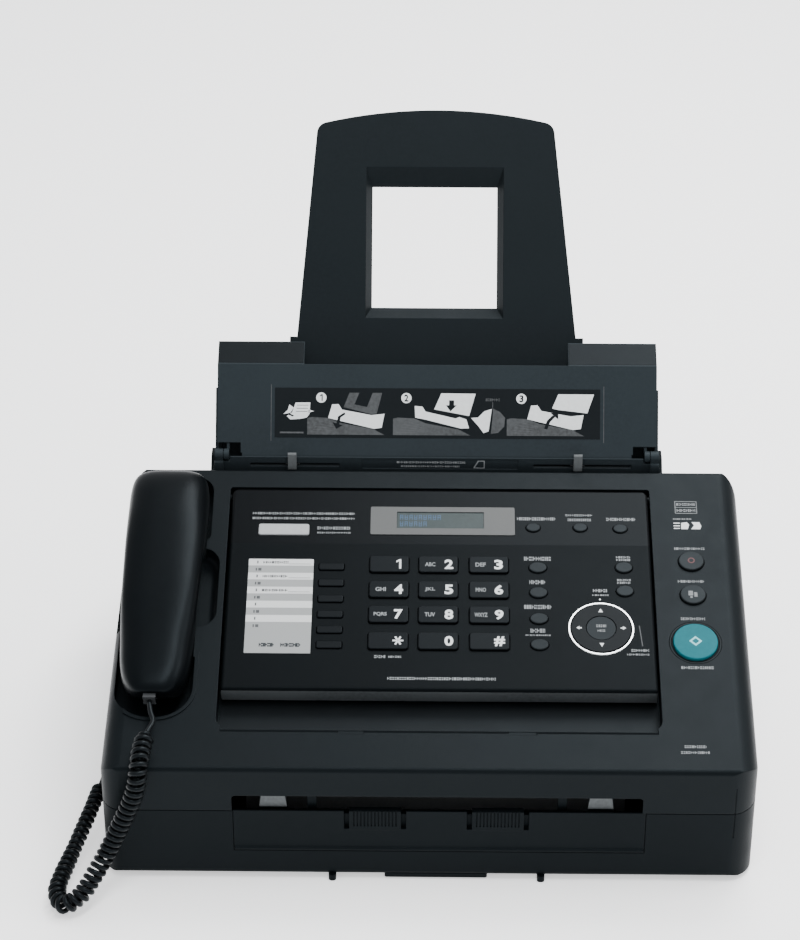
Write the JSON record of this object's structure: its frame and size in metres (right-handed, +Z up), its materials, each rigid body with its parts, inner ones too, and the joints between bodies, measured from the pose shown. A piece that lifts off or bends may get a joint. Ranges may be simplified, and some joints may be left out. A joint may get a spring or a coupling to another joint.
{
  "type": "fax machine",
  "caption": "Desktop laser fax machine with a sloped control panel, corded handset on the left, paper tray and raised paper support at the back.",
  "frame": {"origin": "centre of the footprint, tray and paper support included, on the table", "axes": "+X to the machine's right seen from the front, +Y to its back, +Z up"},
  "size_m": [0.4705, 0.4757, 0.3623],
  "materials": {
    "body_black": "fine textured charcoal plastic",
    "panel_black": "satin to gloss black plastic",
    "key_black": "gloss black keys",
    "key_grey": "light grey key",
    "teal": "teal key",
    "lcd": "grey display frame and dark window",
    "card": "printed paper card",
    "rubber": "black rubber",
    "handset_black": "satin black handset",
    "cord_black": "black vinyl cord",
    "plug_clear": "clear plastic plug",
    "inner_grey": "grey inner plastic",
    "board_green": "green circuit board",
    "key_dark": "dark satin keys"
  },
  "bodies": {
    "base": {"base_shell": "body_black", "exit_panel": "body_black", "rubber_feet": "rubber", "paper_tray": "body_black", "fuser_unit": "inner_grey", "laser_unit": "inner_grey", "toner_drum_cartridge": "inner_grey", "circuit_boards": "board_green", "cord_plug_base": "plug_clear"},
    "top_cover": {"top_cover": "body_black", "cis_scanner": "inner_grey", "handset_cord": "cord_black"},
    "panel": {"operation_panel": "panel_black", "key_board": "board_green", "display": "lcd", "directory_card": "card"},
    "handset": {"handset_back": "handset_black", "handset_front": "handset_black", "cord_plug_handset": "plug_clear"},
    "tray_cover": {"tray_cover": "body_black"},
    "paper_support": {"paper_support": "body_black"},
    "hook_switch": {"hook_switch": "inner_grey"},
    "guide_left": {"guide_left": "body_black"},
    "guide_right": {"guide_right": "body_black"},
    "pickup_roller": {"pickup_roller": "rubber"},
    "exit_roller": {"exit_roller": "rubber"},
    "feed_roller": {"feed_roller": "rubber"},
    "function_key_1": {"function_key_1": "key_dark"},
    "function_key_2": {"function_key_2": "key_dark"},
    "function_key_3": {"function_key_3": "key_dark"},
    "key_0": {"key_0": "key_black"},
    "key_1": {"key_1": "key_black"},
    "key_2": {"key_2": "key_black"},
    "key_3": {"key_3": "key_black"},
    "key_4": {"key_4": "key_black"},
    "key_5": {"key_5": "key_black"},
    "key_6": {"key_6": "key_black"},
    "key_7": {"key_7": "key_black"},
    "key_8": {"key_8": "key_black"},
    "key_9": {"key_9": "key_black"},
    "key_hash": {"key_hash": "key_black"},
    "key_star": {"key_star": "key_black"},
    "side_key_1": {"side_key_1": "key_dark"},
    "side_key_2": {"side_key_2": "key_dark"},
    "side_key_3": {"side_key_3": "key_dark"},
    "side_key_4": {"side_key_4": "key_dark"},
    "speaker_key_1": {"speaker_key_1": "key_dark"},
    "speaker_key_2": {"speaker_key_2": "key_dark"},
    "station_key_1": {"station_key_1": "key_black"},
    "station_key_2": {"station_key_2": "key_black"},
    "station_key_3": {"station_key_3": "key_black"},
    "station_key_4": {"station_key_4": "key_black"},
    "station_key_5": {"station_key_5": "key_black"},
    "station_key_6": {"station_key_6": "key_black"},
    "auto_key": {"auto_key": "key_grey"},
    "navigation_key": {"navigation_key": "key_dark"},
    "set_key": {"set_key": "key_dark"},
    "start_key": {"start_key": "teal"},
    "copy_key": {"copy_key": "key_dark"},
    "stop_key": {"stop_key": "key_dark"}
  },
  "joints": [
    {"name": "top_cover_hinge", "type": "hinge", "parent": "base", "child": "top_cover", "pos_m": [0, 0.0319, 0.1595], "axis": [-1, 0, 0], "range_deg": [0, 45]},
    {"name": "operation_panel_hinge", "type": "hinge", "parent": "top_cover", "child": "panel", "pos_m": [0, 0.0138, 0.15486], "axis": [-1, 0, 0], "range_deg": [0, 40]},
    {"name": "handset_lift", "type": "slide", "parent": "top_cover", "child": "handset", "axis": [0, -0.2756, 0.9613], "range_m": [0, 0.1]},
    {"name": "hook_switch_rise", "type": "slide", "parent": "top_cover", "child": "hook_switch", "axis": [0, -0.2756, 0.9613], "range_m": [0, 0.0042]},
    {"name": "tray_cover_hinge", "type": "hinge", "parent": "base", "child": "tray_cover", "pos_m": [0, 0.0458, 0.1712], "axis": [1, 0, 0], "range_deg": [0, 50]},
    {"name": "paper_support_slide", "type": "slide", "parent": "base", "child": "paper_support", "axis": [0, 0.5736, 0.8192], "range_m": [0, 0.03]},
    {"name": "guide_right_slide", "type": "slide", "parent": "base", "child": "guide_right", "axis": [1, 0, 0], "range_m": [-0.026, 0.0245]},
    {"name": "guide_left_slide", "type": "slide", "parent": "base", "child": "guide_left", "axis": [1, 0, 0], "range_m": [-0.0245, 0.026]},
    {"name": "exit_roller_spin", "type": "hinge", "parent": "base", "child": "exit_roller", "pos_m": [0, -0.1986, 0.0655], "axis": [1, 0, 0], "continuous": true},
    {"name": "pickup_roller_spin", "type": "hinge", "parent": "base", "child": "pickup_roller", "pos_m": [0, 0.03006, 0.12606], "axis": [1, 0, 0], "continuous": true},
    {"name": "feed_roller_spin", "type": "hinge", "parent": "top_cover", "child": "feed_roller", "pos_m": [0, -0.0448, 0.12162], "axis": [1, 0, 0], "continuous": true},
    {"name": "start_key_press", "type": "slide", "parent": "top_cover", "child": "start_key", "axis": [0, -0.2756, 0.9613], "range_m": [-0.0015, 0], "stiffness_N_per_m": 300, "springref_m": 0.0006},
    {"name": "copy_key_press", "type": "slide", "parent": "top_cover", "child": "copy_key", "axis": [0, -0.2756, 0.9613], "range_m": [-0.0015, 0], "stiffness_N_per_m": 300, "springref_m": 0.0006},
    {"name": "stop_key_press", "type": "slide", "parent": "top_cover", "child": "stop_key", "axis": [0, -0.2756, 0.9613], "range_m": [-0.0015, 0], "stiffness_N_per_m": 300, "springref_m": 0.0006},
    {"name": "navigation_key_press", "type": "slide", "parent": "panel", "child": "navigation_key", "axis": [0, -0.2756, 0.9613], "range_m": [-0.0015, 0], "stiffness_N_per_m": 300, "springref_m": 0.0006},
    {"name": "set_key_press", "type": "slide", "parent": "panel", "child": "set_key", "axis": [0, -0.2756, 0.9613], "range_m": [-0.0015, 0], "stiffness_N_per_m": 300, "springref_m": 0.0006},
    {"name": "function_key_1_press", "type": "slide", "parent": "panel", "child": "function_key_1", "axis": [0, -0.2756, 0.9613], "range_m": [-0.0015, 0], "stiffness_N_per_m": 300, "springref_m": 0.0006},
    {"name": "function_key_2_press", "type": "slide", "parent": "panel", "child": "function_key_2", "axis": [0, -0.2756, 0.9613], "range_m": [-0.0015, 0], "stiffness_N_per_m": 300, "springref_m": 0.0006},
    {"name": "function_key_3_press", "type": "slide", "parent": "panel", "child": "function_key_3", "axis": [0, -0.2756, 0.9613], "range_m": [-0.0015, 0], "stiffness_N_per_m": 300, "springref_m": 0.0006},
    {"name": "key_0_press", "type": "slide", "parent": "panel", "child": "key_0", "axis": [0, -0.2756, 0.9613], "range_m": [-0.0015, 0], "stiffness_N_per_m": 300, "springref_m": 0.0006},
    {"name": "key_1_press", "type": "slide", "parent": "panel", "child": "key_1", "axis": [0, -0.2756, 0.9613], "range_m": [-0.0015, 0], "stiffness_N_per_m": 300, "springref_m": 0.0006},
    {"name": "key_2_press", "type": "slide", "parent": "panel", "child": "key_2", "axis": [0, -0.2756, 0.9613], "range_m": [-0.0015, 0], "stiffness_N_per_m": 300, "springref_m": 0.0006},
    {"name": "key_3_press", "type": "slide", "parent": "panel", "child": "key_3", "axis": [0, -0.2756, 0.9613], "range_m": [-0.0015, 0], "stiffness_N_per_m": 300, "springref_m": 0.0006},
    {"name": "key_4_press", "type": "slide", "parent": "panel", "child": "key_4", "axis": [0, -0.2756, 0.9613], "range_m": [-0.0015, 0], "stiffness_N_per_m": 300, "springref_m": 0.0006},
    {"name": "key_5_press", "type": "slide", "parent": "panel", "child": "key_5", "axis": [0, -0.2756, 0.9613], "range_m": [-0.0015, 0], "stiffness_N_per_m": 300, "springref_m": 0.0006},
    {"name": "key_6_press", "type": "slide", "parent": "panel", "child": "key_6", "axis": [0, -0.2756, 0.9613], "range_m": [-0.0015, 0], "stiffness_N_per_m": 300, "springref_m": 0.0006},
    {"name": "key_7_press", "type": "slide", "parent": "panel", "child": "key_7", "axis": [0, -0.2756, 0.9613], "range_m": [-0.0015, 0], "stiffness_N_per_m": 300, "springref_m": 0.0006},
    {"name": "key_8_press", "type": "slide", "parent": "panel", "child": "key_8", "axis": [0, -0.2756, 0.9613], "range_m": [-0.0015, 0], "stiffness_N_per_m": 300, "springref_m": 0.0006},
    {"name": "key_9_press", "type": "slide", "parent": "panel", "child": "key_9", "axis": [0, -0.2756, 0.9613], "range_m": [-0.0015, 0], "stiffness_N_per_m": 300, "springref_m": 0.0006},
    {"name": "key_hash_press", "type": "slide", "parent": "panel", "child": "key_hash", "axis": [0, -0.2756, 0.9613], "range_m": [-0.0015, 0], "stiffness_N_per_m": 300, "springref_m": 0.0006},
    {"name": "key_star_press", "type": "slide", "parent": "panel", "child": "key_star", "axis": [0, -0.2756, 0.9613], "range_m": [-0.0015, 0], "stiffness_N_per_m": 300, "springref_m": 0.0006},
    {"name": "side_key_1_press", "type": "slide", "parent": "panel", "child": "side_key_1", "axis": [0, -0.2756, 0.9613], "range_m": [-0.0015, 0], "stiffness_N_per_m": 300, "springref_m": 0.0006},
    {"name": "side_key_2_press", "type": "slide", "parent": "panel", "child": "side_key_2", "axis": [0, -0.2756, 0.9613], "range_m": [-0.0015, 0], "stiffness_N_per_m": 300, "springref_m": 0.0006},
    {"name": "side_key_3_press", "type": "slide", "parent": "panel", "child": "side_key_3", "axis": [0, -0.2756, 0.9613], "range_m": [-0.0015, 0], "stiffness_N_per_m": 300, "springref_m": 0.0006},
    {"name": "side_key_4_press", "type": "slide", "parent": "panel", "child": "side_key_4", "axis": [0, -0.2756, 0.9613], "range_m": [-0.0015, 0], "stiffness_N_per_m": 300, "springref_m": 0.0006},
    {"name": "speaker_key_1_press", "type": "slide", "parent": "panel", "child": "speaker_key_1", "axis": [0, -0.2756, 0.9613], "range_m": [-0.0015, 0], "stiffness_N_per_m": 300, "springref_m": 0.0006},
    {"name": "speaker_key_2_press", "type": "slide", "parent": "panel", "child": "speaker_key_2", "axis": [0, -0.2756, 0.9613], "range_m": [-0.0015, 0], "stiffness_N_per_m": 300, "springref_m": 0.0006},
    {"name": "station_key_1_press", "type": "slide", "parent": "panel", "child": "station_key_1", "axis": [0, -0.2756, 0.9613], "range_m": [-0.0015, 0], "stiffness_N_per_m": 300, "springref_m": 0.0006},
    {"name": "station_key_2_press", "type": "slide", "parent": "panel", "child": "station_key_2", "axis": [0, -0.2756, 0.9613], "range_m": [-0.0015, 0], "stiffness_N_per_m": 300, "springref_m": 0.0006},
    {"name": "station_key_3_press", "type": "slide", "parent": "panel", "child": "station_key_3", "axis": [0, -0.2756, 0.9613], "range_m": [-0.0015, 0], "stiffness_N_per_m": 300, "springref_m": 0.0006},
    {"name": "station_key_4_press", "type": "slide", "parent": "panel", "child": "station_key_4", "axis": [0, -0.2756, 0.9613], "range_m": [-0.0015, 0], "stiffness_N_per_m": 300, "springref_m": 0.0006},
    {"name": "station_key_5_press", "type": "slide", "parent": "panel", "child": "station_key_5", "axis": [0, -0.2756, 0.9613], "range_m": [-0.0015, 0], "stiffness_N_per_m": 300, "springref_m": 0.0006},
    {"name": "station_key_6_press", "type": "slide", "parent": "panel", "child": "station_key_6", "axis": [0, -0.2756, 0.9613], "range_m": [-0.0015, 0], "stiffness_N_per_m": 300, "springref_m": 0.0006},
    {"name": "auto_key_press", "type": "slide", "parent": "panel", "child": "auto_key", "axis": [0, -0.2756, 0.9613], "range_m": [-0.0015, 0], "stiffness_N_per_m": 300, "springref_m": 0.0006}
  ],
  "couplings": [
    {"joint": "hook_switch_rise", "follows": "handset_lift", "ratio": 0.04},
    {"joint": "guide_left_slide", "follows": "guide_right_slide", "ratio": -1}
  ]
}
